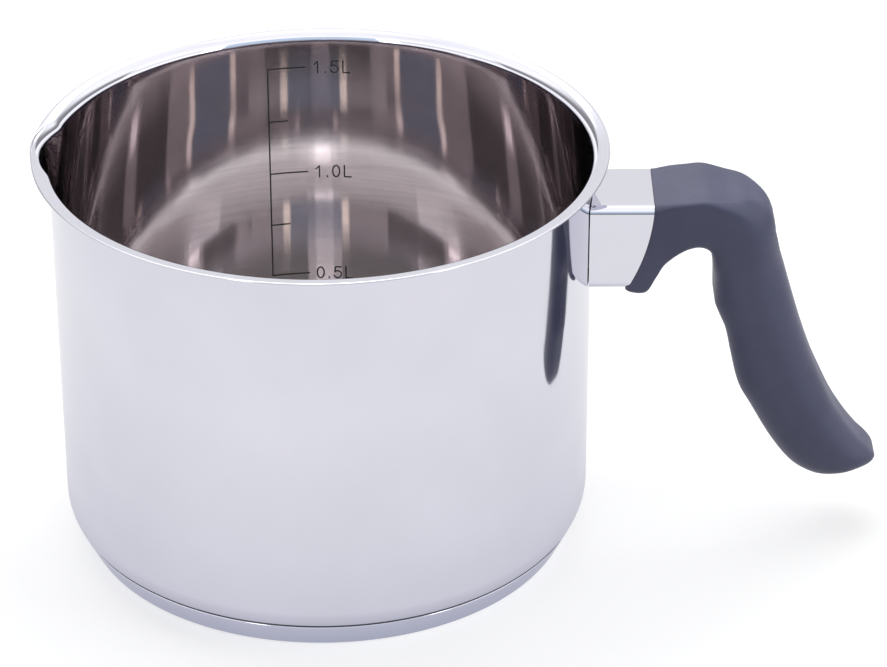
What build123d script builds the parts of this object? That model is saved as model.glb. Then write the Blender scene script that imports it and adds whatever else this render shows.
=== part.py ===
from build123d import *
from math import cos, radians, sqrt, tan
import os

# A one and a half litre milk pan with a flared pouring rim, a bonded capsule base and one
# drooping moulded handle that a long screw clamps over a steel collar.
# The origin is the centre of the base's underside, on the pan's axis. +Z is up, +X runs to
# the handle and -X to the spout. All lengths are millimetres and all angles are degrees.

# Deep-drawn vessel
inner_radius = 70.0
wall = 0.5
rim_width = 5.0
rim_height = 111.5
rim_curl_radius = 3.0
rim_slope_degrees = 5.0
corner_radius = 9.0
corner_steps = 4
curl_steps = 3

# Pouring spout, a narrower flared lip pressed into the rim opposite the handle
spout_radius = 28.0
spout_reach = 2.4
spout_depth = 13.0

# Capsule base
cap_inset = 4.4
cap_skin = 0.5
cap_foot_chamfer = 0.8
core_thickness = 3.5
cap_height = 8.1
cap_flare = 3.4
bond_gap = 0.05

# Steel collar between the vessel and the handle
collar_width = 24.0
collar_height = 23.8
collar_drop = 12.5
collar_corner_radius = 2.0
collar_skin = 0.6
collar_length = 15.9
collar_end_radius = 53.0
collar_end_rise = 2.1
collar_gap = 0.2

# Welded bracket and its nut
bracket_skin = 1.2
bracket_height = 12.0
bracket_width = 13.0
bracket_reach = 7.9
bracket_bend_radius = 0.8
nut_flats = 7.0
nut_thickness = 3.2
nut_chamfer = 0.4
weld_gap = 0.05

# Screw, washers and the holes that they run in
screw_depth = 12.0
screw_radius = 2.0
screw_tip = 1.2
screw_tip_chamfer = 0.5
screw_head_radius = 4.0
screw_head_height = 3.1
screw_head_chamfer = 1.2
drive_width = 1.1
drive_reach = 2.3
drive_depth = 1.8
flat_washer_radius = 4.5
flat_washer_thickness = 0.8
spring_washer_radius = 3.8
spring_washer_thickness = 1.0
spring_washer_slit = 0.7
washer_hole_radius = 2.15
thread_clearance = 0.05
screw_hole_radius = 2.25
recess_radius = 4.8
recess_seat = 19.8

# Moulded handle
nose_clearance = 0.3
seat_gap = 0.15
lip_drop = 1.6
lip_start = 2.9
lip_length = 3.3
neck_rise = 0.2
handle_reach = 62.8
tip_height = 12.5
section_steps = 4
overrun = 5.0

body_radius = inner_radius + wall
rim_radius = inner_radius + rim_width
collar_end = body_radius + collar_length
collar_top = rim_height - collar_drop
collar_bottom = collar_top - collar_height
screw_height = collar_top - screw_depth
bridge_face = body_radius + bracket_reach
seat_face = collar_end + recess_seat
curl_height = (
    rim_height
    - rim_curl_radius * cos(radians(rim_slope_degrees))
    - (rim_width - rim_curl_radius) * tan(radians(rim_slope_degrees))
)
floor_height = cap_skin + core_thickness
cap_radius = inner_radius - cap_inset
handle_drop = collar_top - tip_height

# The handle's sections go from the collar over the arch and down to the tip. A row holds the
# inner and the outer point of one section in the side view, as shares of the handle's reach
# past the collar and of its drop below the collar's top. The width follows as a share of the
# collar's, and the corner radius as a share of half the section's smaller side. The inner
# points dip under the arch for one finger and part the others with two low bulges. The last
# rows round the tip off.
section_shares = [
    (0.014, 0.244, 0.046, -0.006, 1.00, 0.17),
    (0.051, 0.197, 0.084, -0.011, 1.00, 0.19),
    (0.125, 0.155, 0.146, -0.017, 1.00, 0.24),
    (0.192, 0.144, 0.217, -0.026, 1.00, 0.34),
    (0.241, 0.167, 0.306, -0.015, 1.00, 0.44),
    (0.257, 0.232, 0.409, 0.006, 1.00, 0.54),
    (0.267, 0.282, 0.498, 0.070, 0.98, 0.62),
    (0.271, 0.361, 0.537, 0.203, 0.96, 0.70),
    (0.286, 0.396, 0.564, 0.273, 0.94, 0.72),
    (0.322, 0.461, 0.602, 0.368, 0.92, 0.74),
    (0.351, 0.556, 0.647, 0.471, 0.91, 0.76),
    (0.385, 0.654, 0.696, 0.568, 0.93, 0.78),
    (0.441, 0.729, 0.737, 0.639, 0.94, 0.80),
    (0.530, 0.841, 0.796, 0.730, 0.95, 0.82),
    (0.618, 0.924, 0.856, 0.800, 0.94, 0.84),
    (0.712, 0.965, 0.916, 0.858, 0.89, 0.86),
    (0.800, 0.970, 0.963, 0.893, 0.80, 0.90),
    (0.876, 0.962, 0.990, 0.916, 0.61, 0.92),
    (0.918, 0.957, 0.991, 0.928, 0.45, 0.94),
    (0.940, 0.955, 0.981, 0.937, 0.32, 0.96),
]


def cylinder_x(radius, start, end, height):
    """A round bar along X, from one distance to another, at a height over the axis."""
    plane = Plane(origin=(start, 0, height), x_dir=(0, 1, 0), z_dir=(1, 0, 0))
    return extrude(plane * Circle(radius), end - start)


def block_x(start, end, width, bottom, top, corner=0.0):
    """A block along X with rounded long edges where a corner radius is given."""
    middle = (bottom + top) / 2
    plane = Plane(origin=(start, 0, middle), x_dir=(0, 1, 0), z_dir=(1, 0, 0))
    if corner > 0:
        outline = RectangleRounded(width, top - bottom, corner)
    else:
        outline = Rectangle(width, top - bottom)
    return extrude(plane * outline, end - start)


def turned(outline):
    """A solid turned about the pan's axis from a half outline in the XZ plane."""
    return revolve(make_face(Plane.XZ * outline), Axis.Z)


def stepped(arc, steps):
    """The ends of short straight runs along an arc."""
    return [arc @ (step / steps) for step in range(steps + 1)]


def drum(radius, corner, bottom):
    """A filled drum up to the height where the rim begins, its lower corner rounded."""
    turn = CenterArc((radius - corner, bottom + corner), corner, -90, 90)
    outline = Curve() + [
        Line((0, bottom), turn @ 0),
        Polyline(stepped(turn, corner_steps)),
        Line(turn @ 1, (radius, curl_height)),
        Line((radius, curl_height), (0, curl_height)),
        Line((0, curl_height), (0, bottom)),
    ]
    return turned(outline)


def flare(radius, curl, lip_radius, top):
    """The filled space inside the rim: its side curls outwards into a nearly level lip."""
    turn = CenterArc((radius + curl, curl_height), curl, 180, rim_slope_degrees - 90)
    lip_start = turn @ 1
    rise = (lip_radius - lip_start.X) * tan(radians(rim_slope_degrees))
    lip_end = (lip_radius, lip_start.Y + rise)
    outline = Curve() + [
        Line((0, curl_height), (radius, curl_height)),
        Polyline(stepped(turn, curl_steps)),
        Line(lip_start, lip_end),
        Line(lip_end, (lip_radius, top)),
        Line((lip_radius, top), (0, top)),
        Line((0, top), (0, curl_height)),
    ]
    return turned(outline)


def spout_cup(radius, curl, top):
    """A small flared cup whose side leans out to the rim, set off towards the spout."""
    cone = Pos(0, 0, curl_height - spout_depth) * Cone(
        radius - spout_reach,
        radius,
        spout_depth,
        align=(Align.CENTER, Align.CENTER, Align.MIN),
    )
    cup = cone + flare(radius, curl, radius + curl, top)
    return Pos(spout_radius - spout_reach - inner_radius, 0, 0) * cup


def make_vessel():
    """The steel body: one skin thick, drawn deep, with its rim flared and its lip pressed."""
    above = rim_height + overrun
    curl = rim_curl_radius - wall
    outer = drum(body_radius, corner_radius, floor_height)
    outer += flare(body_radius, curl, rim_radius, rim_height)
    outer += spout_cup(spout_radius + wall, curl, rim_height)
    cavity = drum(inner_radius, corner_radius - wall, floor_height + wall)
    cavity += flare(inner_radius, rim_curl_radius, rim_radius + overrun, above)
    cavity += spout_cup(spout_radius, rim_curl_radius, above)
    return outer - cavity


def capsule(shrink):
    """The filled capsule with its edge broken and its side leaning out, drawn in by a skin."""
    body = Pos(0, 0, shrink) * Cone(
        cap_radius - shrink,
        cap_radius + cap_flare - shrink,
        cap_height - shrink,
        align=(Align.CENTER, Align.CENTER, Align.MIN),
    )
    return chamfer(body.edges().sort_by(Axis.Z)[0], cap_foot_chamfer)


def vessel_clearance():
    """The vessel's outside grown by the bond, which the layers of the base fit under."""
    return drum(body_radius + bond_gap, corner_radius + bond_gap, floor_height - bond_gap)


def make_base_core():
    """The aluminium disc that spreads the heat, pressed into the whole of the steel cap."""
    return capsule(cap_skin + bond_gap) - vessel_clearance()


def make_base_cap():
    """The pressed steel cap round the disc, with its edge turned up to the vessel."""
    return capsule(0) - capsule(cap_skin) - vessel_clearance()


def end_curve(radius):
    """The curved end that the collar and the handle's shoulder share."""
    axis_x = collar_end - collar_end_radius
    axis_z = collar_top + collar_end_rise
    plane = Plane(origin=(axis_x, -collar_width, axis_z), x_dir=(1, 0, 0), z_dir=(0, 1, 0))
    return extrude(plane * Circle(radius), 2 * collar_width)


def make_collar():
    """A thin square sleeve, cut to the pan's curve at one end and to the grip's at the other."""
    outer = block_x(
        0, collar_end, collar_width, collar_bottom, collar_top, collar_corner_radius
    )
    hole = block_x(
        0,
        collar_end,
        collar_width - 2 * collar_skin,
        collar_bottom + collar_skin,
        collar_top - collar_skin,
        collar_corner_radius - collar_skin,
    )
    wall_cut = Pos(0, 0, collar_bottom) * Cylinder(
        body_radius + collar_gap,
        collar_height,
        align=(Align.CENTER, Align.CENTER, Align.MIN),
    )
    return (outer - hole - wall_cut) & end_curve(collar_end_radius)


def make_bracket():
    """A strip bent into a hat, welded to the wall by its brims, with a hole for the screw."""
    bottom = screw_height - bracket_height / 2
    top = screw_height + bracket_height / 2
    crown = block_x(0, bridge_face, bracket_width, bottom, top)
    crown = fillet(
        crown.edges().filter_by(Axis.Z).sort_by(Axis.X)[-2:],
        bracket_skin + bracket_bend_radius,
    )
    inside = block_x(
        0,
        bridge_face - bracket_skin,
        bracket_width - 2 * bracket_skin,
        bottom,
        top,
    )
    inside = fillet(
        inside.edges().filter_by(Axis.Z).sort_by(Axis.X)[-2:], bracket_bend_radius
    )
    brim_width = collar_width - 2 * (collar_skin + nose_clearance)
    saddle = Pos(0, 0, bottom) * Cylinder(
        body_radius + weld_gap + bracket_skin,
        bracket_height,
        align=(Align.CENTER, Align.CENTER, Align.MIN),
    )
    brim = saddle & block_x(0, bridge_face, brim_width, bottom, top)
    wall_cut = Pos(0, 0, bottom) * Cylinder(
        body_radius + weld_gap,
        bracket_height,
        align=(Align.CENTER, Align.CENTER, Align.MIN),
    )
    hole = cylinder_x(screw_hole_radius, 0, bridge_face, screw_height)
    return crown + brim - inside - wall_cut - hole


def make_bracket_nut():
    """The hexagon nut behind the bracket, its corners turned off on the far side."""
    face = bridge_face - bracket_skin
    plane = Plane(origin=(face, 0, screw_height), x_dir=(0, 1, 0), z_dir=(-1, 0, 0))
    corner_radius_hex = nut_flats / sqrt(3)
    prism = extrude(plane * RegularPolygon(corner_radius_hex, 6), nut_thickness)
    turned_down = extrude(plane * Circle(corner_radius_hex), nut_thickness)
    turned_down = chamfer(turned_down.edges().sort_by(Axis.X)[0], nut_chamfer)
    bore = cylinder_x(
        screw_radius + thread_clearance, face - nut_thickness, face, screw_height
    )
    return (prism & turned_down) - bore


def section(inner, outer, width, corner_share):
    """A rectangle from an inner to an outer point of the side view, its corners rounded."""
    start = Vector(inner[0], 0, inner[1])
    end = Vector(outer[0], 0, outer[1])
    span = end - start
    along = span.normalized()
    plane = Plane(
        origin=(start + end) / 2, x_dir=along, z_dir=along.cross(Vector(0, 1, 0))
    )
    corner = corner_share * min(span.length, width) / 2
    points = []
    for side_x, side_y, turn in ((1, 1, 0), (-1, 1, 90), (-1, -1, 180), (1, -1, 270)):
        centre = (
            side_x * (span.length / 2 - corner),
            side_y * (width / 2 - corner),
        )
        points += stepped(CenterArc(centre, corner, turn, 90), section_steps)
    return plane * make_face(Polyline(points, close=True))


def handle_sections():
    """The sections from inside the collar, over the arch, and down the grip."""
    lip = collar_bottom - lip_drop
    nose = bridge_face + seat_gap
    crown = collar_top + neck_rise
    edge_share = 2 * collar_corner_radius / collar_width
    lip_left = nose + lip_start
    lip_right = lip_left + lip_length
    sections = [
        section((nose, collar_bottom), (nose, crown), collar_width, edge_share),
        section((lip_left, lip), (lip_left, crown), collar_width, edge_share),
        section((lip_right, lip), (collar_end, crown), collar_width, edge_share),
    ]
    for in_x, in_z, out_x, out_z, width, corner in section_shares:
        inner = (collar_end + in_x * handle_reach, collar_top - in_z * handle_drop)
        outer = (collar_end + out_x * handle_reach, collar_top - out_z * handle_drop)
        sections.append(section(inner, outer, width * collar_width, corner))
    return sections


def make_handle():
    """The moulded handle: nose, arch for the finger, scalloped grip and the screw's tunnel."""
    body = loft(handle_sections(), ruled=True)
    inner_width = collar_width - 2 * (collar_skin + nose_clearance)
    nose = block_x(
        body_radius,
        collar_end + overrun,
        inner_width,
        collar_bottom + collar_skin + nose_clearance,
        collar_top - collar_skin - nose_clearance,
        collar_corner_radius - collar_skin,
    )
    shoulder = end_curve(collar_end_radius + seat_gap) - nose
    tunnel = cylinder_x(screw_hole_radius, body_radius, seat_face, screw_height)
    recess = cylinder_x(
        recess_radius, seat_face, collar_end + handle_reach, screw_height
    )
    return body - shoulder - tunnel - recess


def make_flat_washer():
    """The flat washer on the floor of the screw's recess."""
    end = seat_face + flat_washer_thickness
    disc = cylinder_x(flat_washer_radius, seat_face, end, screw_height)
    return disc - cylinder_x(washer_hole_radius, seat_face, end, screw_height)


def make_spring_washer():
    """The split spring washer under the screw's head."""
    start = seat_face + flat_washer_thickness
    end = start + spring_washer_thickness
    ring = cylinder_x(spring_washer_radius, start, end, screw_height)
    ring -= cylinder_x(washer_hole_radius, start, end, screw_height)
    top = screw_height + spring_washer_radius
    return ring - block_x(start, end, spring_washer_slit, screw_height, top)


def make_handle_screw():
    """The long screw from the back of the grip through the neck into the bracket's nut."""
    head_start = seat_face + flat_washer_thickness + spring_washer_thickness
    head_end = head_start + screw_head_height
    end = bridge_face - bracket_skin - nut_thickness - screw_tip
    head = cylinder_x(screw_head_radius, head_start, head_end, screw_height)
    head = chamfer(head.edges().sort_by(Axis.X)[-1], screw_head_chamfer)
    shank = cylinder_x(screw_radius, end, head_start, screw_height)
    shank = chamfer(shank.edges().sort_by(Axis.X)[0], screw_tip_chamfer)
    floor = head_end - drive_depth
    upright = block_x(
        floor,
        head_end,
        drive_width,
        screw_height - drive_reach,
        screw_height + drive_reach,
    )
    level = block_x(
        floor,
        head_end,
        2 * drive_reach,
        screw_height - drive_width / 2,
        screw_height + drive_width / 2,
    )
    return head + shank - upright - level


pieces = {
    "vessel": make_vessel,
    "base_core": make_base_core,
    "base_cap": make_base_cap,
    "handle_bracket": make_bracket,
    "bracket_nut": make_bracket_nut,
    "collar": make_collar,
    "handle": make_handle,
    "flat_washer": make_flat_washer,
    "spring_washer": make_spring_washer,
    "handle_screw": make_handle_screw,
}

os.makedirs("parts", exist_ok=True)
for name, make in pieces.items():
    piece = make()
    export_step(piece, "parts/" + name + ".step")
    print(name, "volume", round(piece.volume), "mm3")
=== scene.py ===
from math import atan2, cos, degrees, pi, radians, sin, sqrt, tan

import bmesh
import bpy
from mathutils import Matrix, Vector


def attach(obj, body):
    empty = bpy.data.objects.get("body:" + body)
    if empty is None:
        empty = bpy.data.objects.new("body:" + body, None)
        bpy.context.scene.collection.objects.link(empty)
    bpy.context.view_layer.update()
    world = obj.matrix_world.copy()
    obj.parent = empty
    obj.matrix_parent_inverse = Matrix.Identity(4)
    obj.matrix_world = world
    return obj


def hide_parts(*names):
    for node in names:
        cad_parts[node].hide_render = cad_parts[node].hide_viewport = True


# A polished steel milk pan on a white table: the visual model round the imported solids.
# The frame is the solids' own: metres, +Z up, +X to the handle, -X to the spout.

MM = 0.001

# Vessel
INNER_RADIUS = 70 * MM
WALL = 0.5 * MM
RIM_RADIUS = 74.98 * MM
RIM_HEIGHT = 111.49 * MM
CURL_RADIUS = 3 * MM
RIM_SLOPE = radians(5)
CORNER_RADIUS = 9 * MM
FLOOR_HEIGHT = 4 * MM
SPOUT_RADIUS = 28 * MM
SPOUT_REACH = 2.33 * MM
SPOUT_DEPTH = 13 * MM
SPOUT_FADE = 7 * MM
SPOUT_BLEND = 0.3 * MM
SPOUT_SPAN = radians(45)
CURL_HEIGHT = (
    RIM_HEIGHT
    - CURL_RADIUS * cos(RIM_SLOPE)
    - (RIM_RADIUS - INNER_RADIUS - CURL_RADIUS) * tan(RIM_SLOPE)
)
TURN_STEPS = 360
CURL_STEPS = 14
CORNER_STEPS = 18
SPOUT_STEPS = 10
EDGE_STEPS = 5
EDGE_TURNS = (-70, 80)
RIM_SHARES = (1.0, 0.75, 0.5, 0.25)
FLOOR_SHARES = (0.25, 0.5, 0.75)
WALL_SHARES = (0.2, 0.4, 0.6, 0.8)
UPWARD = 0.2

# The floor's normal leans to the axis between two distances, so that its mirror image curves
# up to the corner as in the photograph. The floor itself is flat.
DISH_START = 35 * MM
DISH_END = 41 * MM
DISH_LEAN = radians(5)

# Capsule base
CAP_RADIUS = 65.6 * MM
CAP_FLARE = 3.4 * MM
CAP_HEIGHT = 8.1 * MM
CAP_SKIN = 0.5 * MM
CAP_FOOT = 1.2 * MM
CAP_TOP = 7.35 * MM
CAP_LIP = 0.25 * MM
SEAM_GAP = 0.05 * MM
SEAM_SINK = 0.12 * MM
CAP_FLOOR = 1.05 * CAP_SKIN
CAP_CORNER = 1.2 * CAP_SKIN
CAP_SHARES = (0.0, 0.3, 0.6, 0.9, 0.97)
CAP_FOOT_STEPS = 8
CAP_LIP_STEPS = 6
CAP_LIP_TURN = 110
CAP_SIDE_STEPS = 11

# Collar and handle
COLLAR_END = 86.4 * MM
COLLAR_TOP = 99 * MM
COLLAR_BOTTOM = 75.2 * MM
COLLAR_WIDTH = 24 * MM
COLLAR_CORNER = 2 * MM
COLLAR_END_RADIUS = 53 * MM
COLLAR_END_RISE = 2.1 * MM
COLLAR_EDGE = 0.22 * MM
SEAT_GAP = 0.15 * MM
NOSE = 78.55 * MM
LIP_DROP = 1.6 * MM
LIP_START = 2.1 * MM
LIP_LENGTH = 4.1 * MM
NECK_RISE = 0.2 * MM
HANDLE_REACH = 62.8 * MM
HANDLE_DROP = 86.5 * MM
TIP_BULGE = 0.35 * MM
TIP_SHRINK = 0.55
SCREW_HEIGHT = 87 * MM
SEAT_FACE = 106.2 * MM
RECESS_RADIUS = 4.8 * MM
TUNNEL_RADIUS = 2.25 * MM
CUTTER_REACH = 30 * MM
CUTTER_STEPS = 96
HANDLE_SHARP = radians(38)
COLLAR_SHARP = radians(50)

# One section of the handle per row, from the collar to the tip: the inner and the outer point
# as shares of the reach and the drop, the width as a share of the collar's, and the corner
# radii on the finger side and on the back as shares of half the smaller side.
SECTION_SHARES = [
    (0.014, 0.244, 0.046, -0.006, 1.00, 0.17, 0.14),
    (0.051, 0.197, 0.084, -0.010, 1.00, 0.19, 0.13),
    (0.125, 0.155, 0.146, -0.014, 1.00, 0.24, 0.13),
    (0.192, 0.144, 0.217, -0.018, 1.00, 0.34, 0.14),
    (0.241, 0.167, 0.306, -0.006, 1.00, 0.44, 0.30),
    (0.257, 0.232, 0.409, 0.005, 1.00, 0.54, 0.58),
    (0.267, 0.282, 0.498, 0.067, 0.98, 0.62, 0.78),
    (0.271, 0.361, 0.539, 0.203, 0.96, 0.70, 0.86),
    (0.286, 0.396, 0.566, 0.273, 0.94, 0.72, 0.86),
    (0.322, 0.461, 0.604, 0.368, 0.92, 0.74, 0.85),
    (0.351, 0.556, 0.648, 0.471, 0.91, 0.76, 0.84),
    (0.385, 0.654, 0.696, 0.568, 0.93, 0.78, 0.83),
    (0.441, 0.729, 0.737, 0.639, 0.94, 0.80, 0.80),
    (0.530, 0.841, 0.796, 0.730, 0.95, 0.82, 0.82),
    (0.618, 0.924, 0.856, 0.800, 0.94, 0.84, 0.84),
    (0.712, 0.965, 0.916, 0.858, 0.89, 0.86, 0.86),
    (0.800, 0.970, 0.963, 0.893, 0.80, 0.90, 0.90),
    (0.876, 0.962, 0.988, 0.916, 0.61, 0.92, 0.92),
    (0.918, 0.957, 0.989, 0.928, 0.45, 0.94, 0.94),
    (0.940, 0.955, 0.979, 0.937, 0.32, 0.96, 0.96),
]
RINGS_PER_SPAN = 6
CORNER_POINTS = 9
SIDE_POINTS = 4
TIP_RINGS = 5

# Litre scale printed on the back of the inner wall
SCALE_AZIMUTH = radians(103.86)
SCALE_TOP = 100.83 * MM
SCALE_STEP = 16.24 * MM
SCALE_MARKS = ("1.5L", "", "1.0L", "", "0.5L")
SCALE_LINE = 0.42 * MM
SCALE_MAJOR = 10.5 * MM
SCALE_MINOR = 5.2 * MM
SCALE_TEXT_START = 12.5 * MM
SCALE_TEXT_HEIGHT = 3.5 * MM
SCALE_INK = 0.04 * MM
STROKE_STEP = 0.4 * MM

# Camera, worked out from the photograph's perspective
CAMERA_PLACE = (0.029219, -0.836709, 0.529780)
CAMERA_FORWARD = (0.0026535, 0.8698472, -0.4933142)
CAMERA_UP = (0.0021611, 0.4933098, 0.869851)
CAMERA_FOCAL_PIXELS = 3601.772
PHOTO_WIDTH_PIXELS = 887
SENSOR_WIDTH = 36.0

# Finishes: the light and the dark tone that each one varies between
STEEL_BODY = ((0.73, 0.725, 0.805), (0.70, 0.70, 0.775))
# The cap's steel: steel colour made a little darker and bluer than the body's, as painted shade of
# the shaded table that it mirrors.
STEEL_BASE_WITH_SHADE = ((0.71, 0.715, 0.81), (0.67, 0.68, 0.78))
STEEL_COLLAR = ((0.73, 0.725, 0.80), (0.70, 0.70, 0.77))
STEEL_SATIN = ((0.61, 0.578, 0.592), (0.70, 0.664, 0.674))
# Near-black tones for the ring in the cap's joint: painted shade.
SEAM_PAINTED_SHADE = ((0.05, 0.045, 0.05), (0.10, 0.09, 0.10))
STEEL_RAW = ((0.45, 0.44, 0.44), (0.56, 0.55, 0.55))
ZINC = ((0.55, 0.56, 0.58), (0.68, 0.69, 0.72))
ALUMINIUM = ((0.70, 0.70, 0.71), (0.78, 0.78, 0.79))
BAKELITE = ((0.066, 0.069, 0.132), (0.082, 0.086, 0.160))
INK = ((0.02, 0.018, 0.02), (0.05, 0.045, 0.045))

# Light that falls on the object: lamps as name, place, target, width, height and watts
LAMPS = [
    ("light_top", (-0.1, 0.5, 1.2), (0, 0, 0.06), 1.2, 0.8, 10.0),
    ("light_right", (1.15, -0.3, 0.65), (0.1, 0, 0.06), 0.8, 0.8, 6.0),
]
SKY_COLOR = (0.96, 0.97, 1.0)
SKY_STRENGTH = 0.3
FLOOR_SIZE = 8.0
FLOOR_PAINT = (0.55, 0.55, 0.55)
FLOOR_GLOW = 0.62

# What the steel mirrors. The pan's inside mirrors itself up to ten times. Round it stands a dome
# of cards: each has its turns from the camera's side to the right and its tones at heights, in
# degrees. The table's tones are given at distances from the axis: a painted shadow darkens them
# round the pan's foot, and they darken far off.
MIRROR_BOUNCES = 10
DOME_RADIUS = 2.5
CARD_GAP = 0.01
CARD_ROWS = 16
CARD_COLUMNS = 24
# The table's tones as the steel mirrors them, with a painted shadow round the pan's foot.
FLOOR_TONES_WITH_PAINTED_SHADOW = [
    (0.000, (0.40, 0.40, 0.46)),
    (0.066, (0.54, 0.55, 0.62)),
    (0.072, (0.68, 0.68, 0.74)),
    (0.085, (0.82, 0.82, 0.86)),
    (0.115, (0.91, 0.91, 0.93)),
    (0.185, (1.00, 1.00, 1.00)),
    (0.300, (0.97, 0.97, 0.98)),
    (0.360, (0.96, 0.96, 0.97)),
    (0.480, (0.45, 0.45, 0.46)),
    (0.800, (0.12, 0.12, 0.13)),
]
CARDS = [
    (
        "room",
        (-24, 44),
        [
            (1, 0.25),
            (9, (0.45, 0.50, 0.56)),
            (12, (0.72, 0.82, 0.92)),
            (18.5, (0.72, 0.82, 0.92)),
            (20, (0.66, 0.84, 1.04)),
            (30, (0.66, 0.84, 1.04)),
            (34, 1.0),
            (36, 1.4),
            (70, 1.25),
        ],
    ),
    ("gap_left", (-33, -24), [(1, 1.5), (12, 4.2), (30, (4.0, 3.9, 3.3)), (35, 1.4), (70, 1.25)]),
    ("gap_right", (44, 53), [(1, 1.5), (12, 4.2), (30, (4.0, 3.9, 3.3)), (35, 1.4), (70, 1.25)]),
    (
        "left",
        (-85, -33),
        [(1, 0.95), (10, 1.4), (18.5, 1.4), (20, 0.95), (30, 0.95), (35, 1.5), (55, 1.3), (70, 1.10)],
    ),
    (
        "left_back",
        (-165, -85),
        [(1, 0.4), (10, 1.3), (18.5, 1.3), (20, 0.30), (31, 0.34), (42, 1.4), (55, 1.3), (70, 1.20)],
    ),
    (
        "right",
        (53, 95),
        [(1, 1.05), (10, 1.5), (18.5, 1.5), (20, 1.05), (30, 1.1), (35, 1.5), (55, 1.3), (70, 1.20)],
    ),
    (
        "right_back",
        (95, 165),
        [(1, 0.5), (10, 1.3), (18.5, 1.3), (20, 0.30), (31, 0.34), (42, 1.4), (55, 1.3), (70, 1.20)],
    ),
    (
        "back",
        (165, 195),
        [
            (1, 0.95),
            (31, 0.96),
            (35, 1.5),
            (37, 1.6),
            (37.6, 1.05),
            (39, 1.05),
            (45, 1.3),
            (66, 1.35),
        ],
    ),
    ("top", (0, 360), [(70, 1.30), (89.9, 1.35)]),
    ("lamp_glow", (150, 210), [(62, 1.3), (72, 2.6), (80, 1.35)]),
    ("lamp_edge", (162, 198), [(66, 1.8), (72, 6.0), (77, 2.0)]),
    ("lamp", (170, 190), [(69, 5.0), (72, 18.0), (75, 5.0)]),
    ("lamp_low", (172, 188), [(31, 1.0), (33, 5.0), (35, 4.0), (36.8, 3.0), (37.2, 1.2)]),
]

# The figures' strokes in a square one figure high, after how far each moves the next one on.
GLYPHS = {
    "1": (0.95, [[(0.16, 0.74), (0.42, 1.0), (0.42, 0.0)]]),
    ".": (0.45, [[(0.10, 0.0), (0.10, 0.06)]]),
    "L": (0.8, [[(0.08, 1.0), (0.08, 0.0), (0.6, 0.0)]]),
    "5": (
        0.95,
        [
            [(0.62, 1.0), (0.18, 1.0), (0.1, 0.5)]
            + [
                (0.34 + 0.31 * cos(radians(turn)), 0.31 + 0.32 * sin(radians(turn)))
                for turn in range(120, -161, -20)
            ]
        ],
    ),
    "0": (
        0.95,
        [
            [
                (0.36 + 0.28 * cos(radians(turn)), 0.5 + 0.5 * sin(radians(turn)))
                for turn in range(0, 361, 15)
            ]
        ],
    ),
}

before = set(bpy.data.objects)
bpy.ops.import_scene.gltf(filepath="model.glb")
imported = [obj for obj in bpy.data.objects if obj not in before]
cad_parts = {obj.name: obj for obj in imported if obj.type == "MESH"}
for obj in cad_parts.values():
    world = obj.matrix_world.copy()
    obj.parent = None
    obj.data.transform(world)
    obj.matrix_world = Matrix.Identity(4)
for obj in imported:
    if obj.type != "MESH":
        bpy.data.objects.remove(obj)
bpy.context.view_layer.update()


# ---------- meshes ----------


def arc(centre, radius, start, end, steps):
    """Points on an arc in the XZ half plane, angles in degrees."""
    points = []
    for step in range(steps + 1):
        angle = radians(start + (end - start) * step / steps)
        points.append((centre[0] + radius * cos(angle), centre[1] + radius * sin(angle)))
    return points


def line(start, end, steps):
    """Points on a straight run, without its first one."""
    return [
        tuple(a + (b - a) * step / steps for a, b in zip(start, end))
        for step in range(1, steps + 1)
    ]


def spout_edge(angle, radius):
    """How far the spout's own circle reaches from the pan's axis, at an angle from -X."""
    offset = INNER_RADIUS + SPOUT_REACH - SPOUT_RADIUS
    under = radius * radius - (offset * sin(angle)) ** 2
    return offset * cos(angle) + sqrt(max(0.0, under))


def merged(main, other, blend):
    """The larger of two radii, blended where they meet."""
    return (main + other + sqrt((main - other) ** 2 + blend * blend)) / 2


def new_piece(name, mesh, slot, *materials):
    """A mesh object that rides on the pan and takes the finishes given. Its slot is not used."""
    piece = bpy.data.objects.new(name, mesh)
    bpy.context.scene.collection.objects.link(piece)
    for material in materials:
        piece.data.materials.append(material)
    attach(piece, "root")
    return piece


def smooth_mesh(name, points, faces):
    mesh = bpy.data.meshes.new(name)
    mesh.from_pydata([tuple(p) for p in points], [], faces)
    mesh.polygons.foreach_set("use_smooth", [True] * len(mesh.polygons))
    mesh.update()
    return mesh


def ring_mesh_about_axis(name, loop, steps=TURN_STEPS):
    """A closed ring turned about Z from a loop that stays off the axis."""
    points = []
    for radius, height in loop:
        for step in range(steps):
            angle = 2 * pi * step / steps
            points.append((radius * cos(angle), radius * sin(angle), height))
    faces = []
    for ring in range(len(loop)):
        low, high = ring * steps, (ring + 1) % len(loop) * steps
        for step in range(steps):
            after = (step + 1) % steps
            faces.append((low + step, low + after, high + after, high + step))
    return smooth_mesh(name, points, faces)


def turned_mesh(name, profile, radius_at=None, steps=TURN_STEPS):
    """A closed surface turned about Z. The profile starts and ends on the axis."""
    points = [(0.0, 0.0, profile[0][-1])]
    for row in profile[1:-1]:
        for step in range(steps):
            angle = 2 * pi * step / steps
            radius = radius_at(row, angle) if radius_at else row[0]
            points.append((radius * cos(angle), radius * sin(angle), row[-1]))
    points.append((0.0, 0.0, profile[-1][-1]))
    last = len(points) - 1
    rings = len(profile) - 2
    faces = []
    for step in range(steps):
        after = (step + 1) % steps
        faces.append((0, 1 + after, 1 + step))
        for ring in range(rings - 1):
            low = 1 + ring * steps
            high = low + steps
            faces.append((low + step, low + after, high + after, high + step))
        end = 1 + (rings - 1) * steps
        faces.append((last, end + step, end + after))
    return smooth_mesh(name, points, faces)


def vessel_radius(row, angle):
    """The wall's radius at an angle, with the spout pushed out at -X."""
    main, spout, _ = row
    turn = abs(angle - pi)
    if spout <= 0 or turn > SPOUT_SPAN:
        return main
    return merged(main, spout_edge(turn, spout), SPOUT_BLEND)


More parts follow.
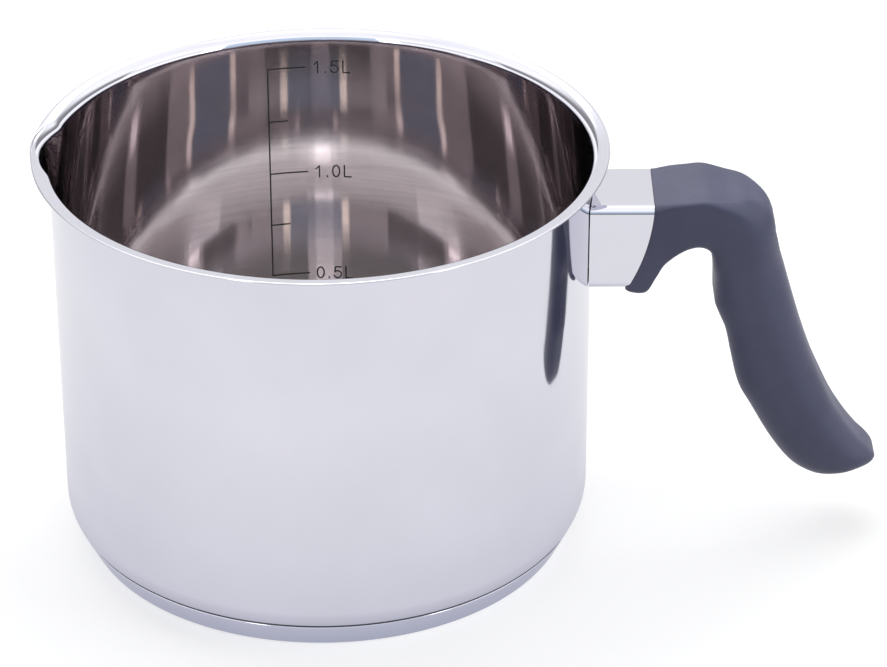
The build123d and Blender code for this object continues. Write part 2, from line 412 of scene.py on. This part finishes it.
def vessel_side(offset):
    """The rows (radius, spout radius, height) of one side of the sheet, from edge to wall."""
    curl = CURL_RADIUS - offset
    centre = INNER_RADIUS + CURL_RADIUS
    spout_centre = SPOUT_RADIUS + CURL_RADIUS
    rows = []
    lean = 90 + degrees(RIM_SLOPE)
    start_x = centre + curl * cos(radians(lean))
    start_z = CURL_HEIGHT + curl * sin(radians(lean))
    edge_x = RIM_RADIUS - WALL / 2
    for share in RIM_SHARES:
        x = start_x + share * (edge_x - start_x)
        spout_x = spout_centre + curl * cos(radians(lean))
        spout_x += share * (SPOUT_RADIUS + CURL_RADIUS - WALL / 2 - spout_x)
        rows.append((x, spout_x, start_z + (x - start_x) * tan(RIM_SLOPE)))
    for x, z in arc((0, CURL_HEIGHT), curl, lean, 180, CURL_STEPS):
        rows.append((centre + x, spout_centre + x, z))
    wall = INNER_RADIUS + offset
    for step in range(1, SPOUT_STEPS + 1):
        drop = step / SPOUT_STEPS * (SPOUT_DEPTH + SPOUT_FADE)
        spout = SPOUT_RADIUS + offset - SPOUT_REACH * drop / SPOUT_DEPTH
        rows.append((wall, spout, CURL_HEIGHT - drop))
    return rows


def vessel_profile():
    """The whole sheet: under the floor, up the outside, over the edge and down the inside."""
    centre_x = INNER_RADIUS + WALL - CORNER_RADIUS
    centre_z = FLOOR_HEIGHT + CORNER_RADIUS
    outside = vessel_side(WALL)
    inside = vessel_side(0.0)
    rows = [(0.0, 0.0, FLOOR_HEIGHT)]
    rows += [(centre_x * share, 0.0, FLOOR_HEIGHT) for share in FLOOR_SHARES]
    for x, z in arc((centre_x, centre_z), CORNER_RADIUS, -90, 0, CORNER_STEPS):
        rows.append((x, 0.0, z))
    wall_top = outside[-1][-1]
    for share in WALL_SHARES:
        z = centre_z + share * (wall_top - centre_z)
        rows.append((INNER_RADIUS + WALL, 0.0, z))
    rows += outside[::-1]
    edge_x = RIM_RADIUS - WALL / 2
    edge_z = (outside[0][-1] + inside[0][-1]) / 2
    spout_edge_x = SPOUT_RADIUS + CURL_RADIUS - WALL / 2
    for x, z in arc((0, edge_z), WALL / 2, *EDGE_TURNS, EDGE_STEPS):
        rows.append((edge_x + x, spout_edge_x + x, z))
    rows += inside
    for share in WALL_SHARES[::-1]:
        z = centre_z + share * (wall_top - centre_z)
        rows.append((INNER_RADIUS, 0.0, z))
    for x, z in arc((centre_x, centre_z), CORNER_RADIUS - WALL, 0, -90, CORNER_STEPS):
        rows.append((x, 0.0, z))
    top = FLOOR_HEIGHT + WALL
    rows += [(centre_x * share, 0.0, top) for share in FLOOR_SHARES[::-1]]
    rows.append((0.0, 0.0, top))
    return rows


def make_vessel(polished, satin, dished):
    """The body, polished outside and on its rim, satin inside, its floor with the dished look."""
    mesh = turned_mesh("vessel_skin", vessel_profile(), vessel_radius)
    piece = new_piece("vessel_skin", mesh, "steel_body", polished, satin, dished)
    for face in mesh.polygons:
        middle = face.center
        inward = face.normal.x * middle.x + face.normal.y * middle.y < 0
        floor = middle.z > FLOOR_HEIGHT + WALL / 2 and face.normal.z > UPWARD
        if middle.z < CURL_HEIGHT and (inward or floor):
            flat = floor and middle.z < FLOOR_HEIGHT + WALL + SEAM_GAP
            face.material_index = 2 if flat else 1
    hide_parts("vessel")


def vessel_outside(height):
    """The radius of the vessel's outside at a height in its lower corner."""
    rise = FLOOR_HEIGHT + CORNER_RADIUS - height
    return INNER_RADIUS + WALL - CORNER_RADIUS + sqrt(CORNER_RADIUS**2 - rise**2)


def make_base_cap(polished, seam_shade):
    """The cap's bright skin, with a near-black ring over its upper edge: painted shade in the joint.
    """
    slope = CAP_FLARE / CAP_HEIGHT
    lean = degrees(atan2(CAP_FLARE, CAP_HEIGHT))
    foot_x = CAP_RADIUS - CAP_FOOT
    rows = [(foot_x * share, 0.0) for share in CAP_SHARES]
    rows += arc((foot_x, CAP_FOOT), CAP_FOOT, -90, -lean, CAP_FOOT_STEPS)
    top_x = CAP_RADIUS + slope * CAP_TOP - CAP_LIP
    side_top = CAP_TOP - CAP_LIP
    rows += arc((top_x, side_top), CAP_LIP, -lean, CAP_LIP_TURN, CAP_LIP_STEPS)
    for step in range(CAP_SIDE_STEPS + 1):
        height = side_top - (side_top - CAP_CORNER) * step / CAP_SIDE_STEPS
        inner = CAP_RADIUS + slope * height - CAP_SKIN
        if height > FLOOR_HEIGHT:
            inner = max(inner, vessel_outside(height) + SEAM_GAP)
        rows.append((inner, height))
    rows += [(foot_x - CAP_SKIN, CAP_FLOOR), (0.0, CAP_FLOOR)]
    # The cap's skin takes the cap's steel, with its painted shade.
    piece = new_piece("base_skin", turned_mesh("base_skin", rows), "steel_base", polished)
    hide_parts("base_cap")
    # A near-black ring sunk in the joint over the cap's edge: painted shade.
    low, high = CAP_TOP + SEAM_GAP, CAP_HEIGHT
    loop = [
        (vessel_outside(low) + SEAM_GAP, low),
        (CAP_RADIUS + slope * low - SEAM_SINK, low),
        (CAP_RADIUS + slope * high - SEAM_SINK, high),
        (vessel_outside(high) + SEAM_GAP / 5, high),
    ]
    mesh = ring_mesh_about_axis("base_seam_painted_shade", loop)
    new_piece("base_seam_painted_shade", mesh, "steel_base", seam_shade)


def section_ring(inner, outer, width, inner_share, outer_share):
    """The points of a rounded rectangle from an inner to an outer point of the side view."""
    start, end = Vector((inner[0], 0, inner[1])), Vector((outer[0], 0, outer[1]))
    span = end - start
    along, middle = span.normalized(), (start + end) / 2
    half_side = min(span.length, width) / 2
    flat = []
    for side_x, side_y, turn in ((1, 1, 0), (-1, 1, 90), (-1, -1, 180), (1, -1, 270)):
        corner = half_side * (outer_share if side_x > 0 else inner_share)
        centre = (side_x * (span.length / 2 - corner), side_y * (width / 2 - corner))
        flat.append(arc(centre, corner, turn, turn + 90, CORNER_POINTS - 1))
    ring = []
    for index, points in enumerate(flat):
        after = flat[(index + 1) % len(flat)][0]
        ring += points + line(points[-1], after, SIDE_POINTS)[:-1]
    return [middle + along * x + Vector((0, y, 0)) for x, y in ring]


def spline(values, share):
    """A smooth curve through four numbers, between the second and the third."""
    a, b, c, d = values
    return b + share / 2 * (
        c - a + share * (2 * a - 5 * b + 4 * c - d + share * (3 * (b - c) + d - a))
    )


def handle_rows():
    """All the handle's sections, those in the collar first, in metres."""
    lip = COLLAR_BOTTOM - LIP_DROP
    crown = COLLAR_TOP + NECK_RISE
    edge = 2 * COLLAR_CORNER / COLLAR_WIDTH
    left = NOSE + LIP_START
    rows = [
        (NOSE, COLLAR_BOTTOM, NOSE, crown, COLLAR_WIDTH, edge, edge),
        (left, lip, left, crown, COLLAR_WIDTH, edge, edge),
        (left + LIP_LENGTH, lip, COLLAR_END, crown, COLLAR_WIDTH, edge, edge),
    ]
    for in_x, in_z, out_x, out_z, width, *corners in SECTION_SHARES:
        rows.append(
            (
                COLLAR_END + in_x * HANDLE_REACH,
                COLLAR_TOP - in_z * HANDLE_DROP,
                COLLAR_END + out_x * HANDLE_REACH,
                COLLAR_TOP - out_z * HANDLE_DROP,
                width * COLLAR_WIDTH,
                *corners,
            )
        )
    return rows


def handle_rings():
    """Smoothly interpolated rings, closed by a rounded tip."""
    rows = handle_rows()
    rows = [rows[0]] + rows + [rows[-1]]
    rings = []
    for index in range(1, len(rows) - 2):
        four = rows[index - 1 : index + 3]
        for step in range(RINGS_PER_SPAN):
            row = [spline(values, step / RINGS_PER_SPAN) for values in zip(*four)]
            rings.append(section_ring(row[0:2], row[2:4], *row[4:]))
    last = rows[-2]
    ring = section_ring(last[0:2], last[2:4], *last[4:])
    rings.append(ring)
    middle = sum(ring, Vector()) / len(ring)
    ahead = Vector((last[3] - last[1], 0, last[0] - last[2])).normalized()
    for step in range(1, TIP_RINGS):
        angle = pi / 2 * step / TIP_RINGS
        shrink = 1 - (1 - cos(angle)) * TIP_SHRINK
        shift = ahead * TIP_BULGE * sin(angle)
        rings.append([middle + (p - middle) * shrink + shift for p in ring])
    return rings


def skin_over_rings(name, rings):
    """A closed skin over rings of as many points each, with flat fans at both ends."""
    count = len(rings[0])
    points = [p for ring in rings for p in ring]
    faces = []
    for ring in range(len(rings) - 1):
        low, high = ring * count, (ring + 1) * count
        for k in range(count):
            after = (k + 1) % count
            faces.append((low + k, high + k, high + after, low + after))
    first = len(points)
    points.append(sum(rings[0], Vector()) / count)
    points.append(sum(rings[-1], Vector()) / count)
    end = (len(rings) - 1) * count
    for k in range(count):
        after = (k + 1) % count
        faces.append((first, k, after))
        faces.append((first + 1, end + after, end + k))
    mesh = smooth_mesh(name, points, faces)
    shape = bmesh.new()
    shape.from_mesh(mesh)
    bmesh.ops.recalc_face_normals(shape, faces=shape.faces)
    shape.to_mesh(mesh)
    shape.free()
    return mesh


def cutter(name, profile, place, turn):
    """A turned body, used to cut a shape out of the handle."""
    mesh = turned_mesh(name, profile, steps=CUTTER_STEPS)
    mesh.transform(Matrix.Translation(place) @ turn)
    tool = bpy.data.objects.new(name, mesh)
    bpy.context.scene.collection.objects.link(tool)
    return tool


def cut(piece, tool):
    """Takes a cutter out of a piece's mesh and removes the cutter."""
    change = piece.modifiers.new("cut", "BOOLEAN")
    change.operation = "DIFFERENCE"
    change.solver = "EXACT"
    change.object = tool
    bpy.context.view_layer.update()
    graph = bpy.context.evaluated_depsgraph_get()
    result = bpy.data.meshes.new_from_object(piece.evaluated_get(graph))
    piece.modifiers.clear()
    piece.data = result
    bpy.data.objects.remove(tool)


def make_handle(bakelite):
    """The moulded handle, with its shoulder and its screw's recess and tunnel cut."""
    piece = bpy.data.objects.new("handle_skin", skin_over_rings("handle_skin", handle_rings()))
    bpy.context.scene.collection.objects.link(piece)
    reach = CUTTER_REACH
    seat = COLLAR_END_RADIUS + SEAT_GAP
    drum = [(0, -reach), (seat, -reach), (seat, reach), (0, reach)]
    place = Vector((COLLAR_END - COLLAR_END_RADIUS, 0, COLLAR_TOP + COLLAR_END_RISE))
    cut(piece, cutter("shoulder_cutter", drum, place, Matrix.Rotation(pi / 2, 4, "X")))
    bore = [
        (0, -reach),
        (TUNNEL_RADIUS, -reach),
        (TUNNEL_RADIUS, 0),
        (RECESS_RADIUS, 0),
        (RECESS_RADIUS, reach),
        (0, reach),
    ]
    place = Vector((SEAT_FACE, 0, SCREW_HEIGHT))
    cut(piece, cutter("recess_cutter", bore, place, Matrix.Rotation(pi / 2, 4, "Y")))
    piece.data.materials.clear()
    piece.data.materials.append(bakelite)
    piece.data.shade_smooth()
    piece.data.set_sharp_from_angle(angle=HANDLE_SHARP)
    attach(piece, "root")
    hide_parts("handle")


# ---------- litre scale ----------


def wall_point(along, height, lift=SCALE_INK):
    """A point of the inner wall, so far round from the scale's line, to the right."""
    angle = SCALE_AZIMUTH - along / INNER_RADIUS
    radius = INNER_RADIUS - lift
    return Vector((radius * cos(angle), radius * sin(angle), height))


def wall_stroke(name, path, ink):
    """A printed stroke along points (along, height) on the wall."""
    half = SCALE_LINE / 2
    places = []
    for first, second in zip(path, path[1:]):
        length = (Vector(second) - Vector(first)).length
        places += [first] + line(first, second, max(1, round(length / STROKE_STEP)))[:-1]
    places.append(path[-1])
    columns = []
    shape = bmesh.new()
    for index, place in enumerate(places):
        before = Vector(places[max(index - 1, 0)])
        after = Vector(places[min(index + 1, len(places) - 1)])
        ahead = (after - before).normalized()
        side = Vector((-ahead.y, ahead.x)) * half
        here = Vector(place)
        if index == 0:
            here -= ahead * half
        if index == len(places) - 1:
            here += ahead * half
        corners = (
            (here - side, SCALE_INK),
            (here + side, SCALE_INK),
            (here + side, SCALE_INK / 4),
            (here - side, SCALE_INK / 4),
        )
        columns.append([shape.verts.new(wall_point(p.x, p.y, t)) for p, t in corners])
    for left, right in zip(columns, columns[1:]):
        for k in range(4):
            after = (k + 1) % 4
            shape.faces.new((left[k], left[after], right[after], right[k]))
    shape.faces.new(columns[0][::-1])
    shape.faces.new(columns[-1])
    bmesh.ops.recalc_face_normals(shape, faces=shape.faces)
    mesh = bpy.data.meshes.new(name)
    shape.to_mesh(mesh)
    shape.free()
    new_piece(name, mesh, "steel_body", ink)


def make_scale(ink):
    """The upright line, its ticks and the litre figures."""
    bottom = SCALE_TOP - SCALE_STEP * (len(SCALE_MARKS) - 1)
    wall_stroke("scale_line", [(0, bottom), (0, SCALE_TOP)], ink)
    for index, words in enumerate(SCALE_MARKS):
        height = SCALE_TOP - SCALE_STEP * index
        length = SCALE_MAJOR if words else SCALE_MINOR
        wall_stroke("scale_tick_%d" % (index + 1), [(0, height), (length, height)], ink)
        left = SCALE_TEXT_START
        for place, letter in enumerate(words):
            advance, strokes = GLYPHS[letter]
            for stroke, path in enumerate(strokes):
                points = [
                    (
                        left + x * SCALE_TEXT_HEIGHT,
                        height + (y - 0.5) * SCALE_TEXT_HEIGHT,
                    )
                    for x, y in path
                ]
                name = "scale_text_%d_%d_%d" % (index + 1, place + 1, stroke + 1)
                wall_stroke(name, points, ink)
            left += advance * SCALE_TEXT_HEIGHT


# ---------- materials ----------


class Shader:
    """A material's node tree with short calls for the nodes that it needs."""

    def __init__(self, name):
        self.material = bpy.data.materials.new(name)
        self.material.use_nodes = True
        self.tree = self.material.node_tree
        self.body = self.tree.nodes["Principled BSDF"]

    def node(self, kind, **values):
        node = self.tree.nodes.new(kind)
        for key, value in values.items():
            setattr(node, key, value)
        return node

    def link(self, start, end):
        self.tree.links.new(start, end)

    def place(self, scale=(1, 1, 1)):
        """Object coordinates, stretched."""
        coordinates = self.node("ShaderNodeTexCoord")
        mapping = self.node("ShaderNodeMapping")
        mapping.inputs["Scale"].default_value = scale
        self.link(coordinates.outputs["Object"], mapping.inputs["Vector"])
        return mapping.outputs["Vector"]

    def noise(self, size, scale=(1, 1, 1), detail=4.0, rough=0.55):
        """A noise whose grains are so many metres across."""
        noise = self.node("ShaderNodeTexNoise")
        noise.inputs["Scale"].default_value = 1 / size
        noise.inputs["Detail"].default_value = detail
        noise.inputs["Roughness"].default_value = rough
        self.link(self.place(scale), noise.inputs["Vector"])
        return noise.outputs["Fac"]

    def span(self, value, low, high, start=0.3, end=0.7):
        """A value taken from one range to another."""
        ramp = self.node("ShaderNodeMapRange")
        ramp.inputs["From Min"].default_value = start
        ramp.inputs["From Max"].default_value = end
        ramp.inputs["To Min"].default_value = low
        ramp.inputs["To Max"].default_value = high
        self.link(value, ramp.inputs["Value"])
        return ramp.outputs["Result"]

    def mix(self, share, first, second):
        """Two colours mixed by a share."""
        mix = self.node("ShaderNodeMix", data_type="RGBA")
        mix.inputs["A"].default_value = (*first, 1)
        mix.inputs["B"].default_value = (*second, 1)
        self.link(share, mix.inputs["Factor"])
        return mix.outputs["Result"]

    def bump(self, height, distance, strength=1.0):
        bump = self.node("ShaderNodeBump")
        bump.inputs["Distance"].default_value = distance
        bump.inputs["Strength"].default_value = strength
        self.link(height, bump.inputs["Height"])
        self.link(bump.outputs["Normal"], self.body.inputs["Normal"])
        return bump

    def leaning_normal(self):
        """The floor's normal, leaning to the axis from the dish's start outwards."""
        middle = self.place((-1, -1, 0))
        away = self.node("ShaderNodeVectorMath", operation="LENGTH")
        self.link(middle, away.inputs[0])
        lean = self.span(away.outputs["Value"], 0, tan(DISH_LEAN), DISH_START, DISH_END)
        inward = self.node("ShaderNodeVectorMath", operation="NORMALIZE")
        self.link(middle, inward.inputs[0])
        tilt = self.node("ShaderNodeVectorMath", operation="SCALE")
        self.link(inward.outputs[0], tilt.inputs[0])
        self.link(lean, tilt.inputs["Scale"])
        plain = self.node("ShaderNodeNewGeometry")
        both = self.node("ShaderNodeVectorMath", operation="ADD")
        self.link(plain.outputs["Normal"], both.inputs[0])
        self.link(tilt.outputs[0], both.inputs[1])
        ready = self.node("ShaderNodeVectorMath", operation="NORMALIZE")
        self.link(both.outputs[0], ready.inputs[0])
        return ready.outputs[0]

    def set(self, **values):
        for key, value in values.items():
            self.body.inputs[key.replace("_", " ")].default_value = value


def polished_steel(name, tones, rough=0.05):
    """Mirror-polished stainless steel with faint smears and the finest buffing lines."""
    shader = Shader(name)
    smear = shader.noise(0.03, detail=3.0)
    tone = shader.mix(shader.span(smear, 0, 1), *tones)
    shader.link(tone, shader.body.inputs["Base Color"])
    shader.link(shader.span(smear, rough, rough * 1.8), shader.body.inputs["Roughness"])
    shader.bump(shader.noise(0.0004, (0.03, 0.03, 1), detail=2.0), 0.0000004)
    shader.set(Metallic=1.0)
    return shader.material


def satin_steel(name, dish=False):
    """Stainless steel brushed round the pan, so that it spreads light up and down. With dish,
    its normal leans as the floor's."""
    shader = Shader(name)
    lines = shader.noise(0.0005, (0.02, 0.02, 1), detail=4.0, rough=0.75)
    cloud = shader.noise(0.05, (1, 1, 0.4), detail=2.0)
    tone = shader.mix(shader.span(lines, 0, 1, 0.35, 0.65), *STEEL_SATIN)
    shader.link(tone, shader.body.inputs["Base Color"])
    shader.link(shader.span(cloud, 0.045, 0.06), shader.body.inputs["Roughness"])
    bump = shader.bump(lines, 0.0000006, 0.5)
    if dish:
        shader.link(shader.leaning_normal(), bump.inputs["Normal"])
    tangent = shader.node("ShaderNodeTangent", direction_type="RADIAL", axis="Z")
    shader.link(tangent.outputs["Tangent"], shader.body.inputs["Tangent"])
    shader.set(Metallic=1.0, Anisotropic=0.9, Anisotropic_Rotation=0.25)
    return shader.material


def moulded_bakelite(name):
    """Matt anthracite bakelite with a fine stipple and slightly polished high spots."""
    shader = Shader(name)
    grain = shader.noise(0.0005, detail=3.0)
    cloud = shader.noise(0.02, detail=3.0)
    tone = shader.mix(shader.span(cloud, 0, 1), *BAKELITE)
    shader.link(tone, shader.body.inputs["Base Color"])
    shader.link(shader.span(grain, 0.38, 0.50), shader.body.inputs["Roughness"])
    shader.bump(grain, 0.00003, 0.5)
    shader.set(IOR=1.5)
    return shader.material


def plain_metal(name, tones, rough):
    """Unpolished metal: mottled, with a fine uneven surface."""
    shader = Shader(name)
    mottle = shader.noise(0.002, detail=5.0)
    tone = shader.mix(shader.span(mottle, 0, 1), *tones)
    shader.link(tone, shader.body.inputs["Base Color"])
    shader.link(shader.span(mottle, rough, rough * 1.4), shader.body.inputs["Roughness"])
    shader.bump(mottle, 0.00002, 0.4)
    shader.set(Metallic=1.0)
    return shader.material


def printed_ink(name):
    """Etched and blackened marks, a little uneven."""
    shader = Shader(name)
    wear = shader.noise(0.0008, detail=4.0)
    tone = shader.mix(shader.span(wear, 0, 1), *INK)
    shader.link(tone, shader.body.inputs["Base Color"])
    shader.link(shader.span(wear, 0.45, 0.7), shader.body.inputs["Roughness"])
    shader.bump(wear, 0.00001, 0.3)
    return shader.material


# ---------- stage ----------


def emission(tree, strength=1.0):
    """A white glow. Its colour may be linked."""
    node = tree.nodes.new("ShaderNodeEmission")
    node.inputs["Color"].default_value = (1, 1, 1, 1)
    node.inputs["Strength"].default_value = strength
    return node


def blank_material(name):
    """A material with only an output, and its tree."""
    material = bpy.data.materials.new(name)
    material.use_nodes = True
    material.node_tree.nodes.clear()
    return material, material.node_tree, material.node_tree.nodes.new("ShaderNodeOutputMaterial")


def seen_rays(tree):
    """1 for camera, glossy and transmission rays, 0 for the light that falls on the object."""
    path = tree.nodes.new("ShaderNodeLightPath")
    add = tree.nodes.new("ShaderNodeMath")
    add.operation = "ADD"
    more = tree.nodes.new("ShaderNodeMath")
    more.operation = "ADD"
    more.use_clamp = True
    tree.links.new(path.outputs["Is Camera Ray"], add.inputs[0])
    tree.links.new(path.outputs["Is Glossy Ray"], add.inputs[1])
    tree.links.new(add.outputs[0], more.inputs[0])
    tree.links.new(path.outputs["Is Transmission Ray"], more.inputs[1])
    return more.outputs[0]


def make_world():
    """A weak sky that falls on the object, and white where it is seen or mirrored."""
    world = bpy.data.worlds.new("studio")
    bpy.context.scene.world = world
    world.use_nodes = True
    tree = world.node_tree
    tree.nodes.clear()
    output = tree.nodes.new("ShaderNodeOutputWorld")
    mix = tree.nodes.new("ShaderNodeMixShader")
    lit = tree.nodes.new("ShaderNodeBackground")
    lit.inputs["Color"].default_value = (*SKY_COLOR, 1)
    lit.inputs["Strength"].default_value = SKY_STRENGTH
    seen = tree.nodes.new("ShaderNodeBackground")
    seen.inputs["Color"].default_value = (1, 1, 1, 1)
    seen.inputs["Strength"].default_value = 1.0
    tree.links.new(seen_rays(tree), mix.inputs[0])
    tree.links.new(lit.outputs[0], mix.inputs[1])
    tree.links.new(seen.outputs[0], mix.inputs[2])
    tree.links.new(mix.outputs[0], output.inputs["Surface"])


def toned(tree, value, stops):
    """A colour that follows a value through stops of (value, colour or grey)."""
    low, high = stops[0][0], stops[-1][0]
    ramp = tree.nodes.new("ShaderNodeMapRange")
    ramp.inputs["From Min"].default_value = low
    ramp.inputs["From Max"].default_value = high
    tree.links.new(value, ramp.inputs["Value"])
    tone = tree.nodes.new("ShaderNodeValToRGB")
    points = tone.color_ramp.elements
    for index, (place, color) in enumerate(stops):
        share = (place - low) / (high - low)
        if index == 0 or index == len(stops) - 1:
            point = points[0 if index == 0 else len(points) - 1]
        else:
            point = points.new(share)
        color = color if isinstance(color, tuple) else (color, color, color)
        point.color = (*color, 1)
    tree.links.new(ramp.outputs["Result"], tone.inputs["Fac"])
    return tone.outputs["Color"]


def floor_tone_with_painted_shadow(tree):
    """How bright the table looks in the steel: darkest at the pan's foot, where its shadow is
    painted, and darker far off.
    """
    place = tree.nodes.new("ShaderNodeTexCoord")
    away = tree.nodes.new("ShaderNodeVectorMath")
    away.operation = "LENGTH"
    tree.links.new(place.outputs["Object"], away.inputs[0])
    return toned(tree, away.outputs["Value"], FLOOR_TONES_WITH_PAINTED_SHADOW)


def floor_material():
    """A white table that keeps shadows. Its mirror image has the table's tones, with a painted shadow
    round the pan's foot.
    """
    material, tree, output = blank_material("stage_floor")
    path = tree.nodes.new("ShaderNodeLightPath")
    diffuse = tree.nodes.new("ShaderNodeBsdfDiffuse")
    diffuse.inputs["Color"].default_value = (*FLOOR_PAINT, 1)
    glow = emission(tree, FLOOR_GLOW)
    lit = tree.nodes.new("ShaderNodeAddShader")
    camera = tree.nodes.new("ShaderNodeMixShader")
    glossy = tree.nodes.new("ShaderNodeMixShader")
    # The table's glow for mirror rays, carrying the painted shadow round the pan's foot.
    mirrored = emission(tree)
    tree.links.new(floor_tone_with_painted_shadow(tree), mirrored.inputs["Color"])
    tree.links.new(diffuse.outputs[0], lit.inputs[0])
    tree.links.new(glow.outputs[0], lit.inputs[1])
    tree.links.new(path.outputs["Is Camera Ray"], camera.inputs[0])
    tree.links.new(diffuse.outputs[0], camera.inputs[1])
    tree.links.new(lit.outputs[0], camera.inputs[2])
    tree.links.new(path.outputs["Is Glossy Ray"], glossy.inputs[0])
    tree.links.new(camera.outputs[0], glossy.inputs[1])
    tree.links.new(mirrored.outputs[0], glossy.inputs[2])
    tree.links.new(glossy.outputs[0], output.inputs["Surface"])
    return material


def make_floor():
    """The table that the pan stands on."""
    half = FLOOR_SIZE / 2
    shape = bmesh.new()
    corners = ((-half, -half), (half, -half), (half, half), (-half, half))
    shape.faces.new([shape.verts.new((x, y, 0)) for x, y in corners])
    mesh = bpy.data.meshes.new("stage_floor")
    shape.to_mesh(mesh)
    shape.free()
    floor = bpy.data.objects.new("stage_floor", mesh)
    bpy.context.scene.collection.objects.link(floor)
    mesh.materials.append(floor_material())


def dome_card(name, turns, tones, radius):
    """A studio card that only shows in the steel: a patch of the dome round the pan."""
    rows, columns = CARD_ROWS, CARD_COLUMNS
    low, high = tones[0][0], tones[-1][0]
    points, faces = [], []
    for row in range(rows + 1):
        rise = radians(low + (high - low) * row / rows)
        for column in range(columns + 1):
            turn = radians(turns[0] + (turns[1] - turns[0]) * column / columns)
            points.append(
                (
                    radius * sin(turn) * cos(rise),
                    -radius * cos(turn) * cos(rise),
                    radius * sin(rise),
                )
            )
    for row in range(rows):
        for column in range(columns):
            k = row * (columns + 1) + column
            faces.append((k, k + 1, k + columns + 2, k + columns + 1))
    card = bpy.data.objects.new(name, smooth_mesh(name, points, faces))
    bpy.context.scene.collection.objects.link(card)
    card.data.materials.append(card_material(name, tones, radius))
    for kind in ("camera", "diffuse", "shadow", "transmission", "volume_scatter"):
        setattr(card, "visible_" + kind, False)


def card_material(name, tones, radius):
    """A glow whose tone follows the height on the dome."""
    material, tree, output = blank_material(name)
    place = tree.nodes.new("ShaderNodeTexCoord")
    split = tree.nodes.new("ShaderNodeSeparateXYZ")
    tree.links.new(place.outputs["Object"], split.inputs[0])
    stops = [(radius * sin(radians(rise)), color) for rise, color in tones]
    glow = emission(tree)
    tree.links.new(toned(tree, split.outputs["Z"], stops), glow.inputs["Color"])
    tree.links.new(glow.outputs[0], output.inputs["Surface"])
    return material


def area_light(name, place, target, width, height, watts):
    """A soft lamp that the steel doesn't mirror."""
    data = bpy.data.lights.new(name, "AREA")
    data.shape = "RECTANGLE"
    data.size = width
    data.size_y = height
    data.energy = watts
    light = bpy.data.objects.new(name, data)
    bpy.context.scene.collection.objects.link(light)
    light.visible_glossy = False
    light.location = place
    facing = Vector(target) - Vector(place)
    light.rotation_mode = "QUATERNION"
    light.rotation_quaternion = facing.to_track_quat("-Z", "Y")


def make_stage():
    """The table, the sky, the lamps and the cards."""
    make_floor()
    make_world()
    for lamp in LAMPS:
        area_light(*lamp)
    for index, (name, turns, tones) in enumerate(CARDS):
        dome_card("card_" + name, turns, tones, DOME_RADIUS - CARD_GAP * index)


def make_camera():
    """The photograph's camera."""
    data = bpy.data.cameras.new("camera")
    data.sensor_width = SENSOR_WIDTH
    data.lens = CAMERA_FOCAL_PIXELS * SENSOR_WIDTH / PHOTO_WIDTH_PIXELS
    data.clip_start = 0.01
    camera = bpy.data.objects.new("camera", data)
    bpy.context.scene.collection.objects.link(camera)
    forward = Vector(CAMERA_FORWARD).normalized()
    side = forward.cross(Vector(CAMERA_UP)).normalized()
    up = side.cross(forward)
    turn = Matrix((side, up, -forward)).transposed().to_4x4()
    camera.matrix_world = Matrix.Translation(CAMERA_PLACE) @ turn
    bpy.context.scene.camera = camera


def assign(node, material):
    """Gives a solid that stays in view its finish."""
    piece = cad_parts[node]
    if not piece.material_slots:
        piece.data.materials.append(material)
    for held in piece.material_slots:
        held.material = material


def soften(piece, width):
    """Rounds a solid's sharp edges with a small bevel."""
    bevel = piece.modifiers.new("soft_edges", "BEVEL")
    bevel.width = width
    bevel.segments = 3
    bevel.limit_method = "ANGLE"
    bevel.angle_limit = COLLAR_SHARP
    bevel.harden_normals = True


def build():
    """Dresses the solids and sets the stage."""
    body = polished_steel("steel_polished", STEEL_BODY)
    # The cap's steel, a little darker than the body's as painted shade.
    base = polished_steel("steel_base", STEEL_BASE_WITH_SHADE)
    collar = polished_steel("steel_collar", STEEL_COLLAR, 0.04)
    satin = satin_steel("steel_satin")
    dished = satin_steel("steel_satin_floor", dish=True)
    bakelite = moulded_bakelite("bakelite")
    # Near-black metal for the cap's joint: painted shade.
    seam_shade = plain_metal("seam_painted_shade", SEAM_PAINTED_SHADE, 0.5)
    zinc = plain_metal("zinc", ZINC, 0.28)
    raw = plain_metal("steel_raw", STEEL_RAW, 0.35)
    aluminium = plain_metal("aluminium", ALUMINIUM, 0.4)
    make_vessel(body, satin, dished)
    make_base_cap(base, seam_shade)
    make_handle(bakelite)
    make_scale(printed_ink("scale_ink"))
    assign("collar", collar)
    soften(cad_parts["collar"], COLLAR_EDGE)
    assign("base_core", aluminium)
    assign("handle_bracket", raw)
    for node in ("bracket_nut", "flat_washer", "spring_washer", "handle_screw"):
        assign(node, zinc)
    make_stage()
    make_camera()
    bpy.context.scene.view_settings.view_transform = "Standard"
    bpy.context.scene.cycles.glossy_bounces = MIRROR_BOUNCES


build()
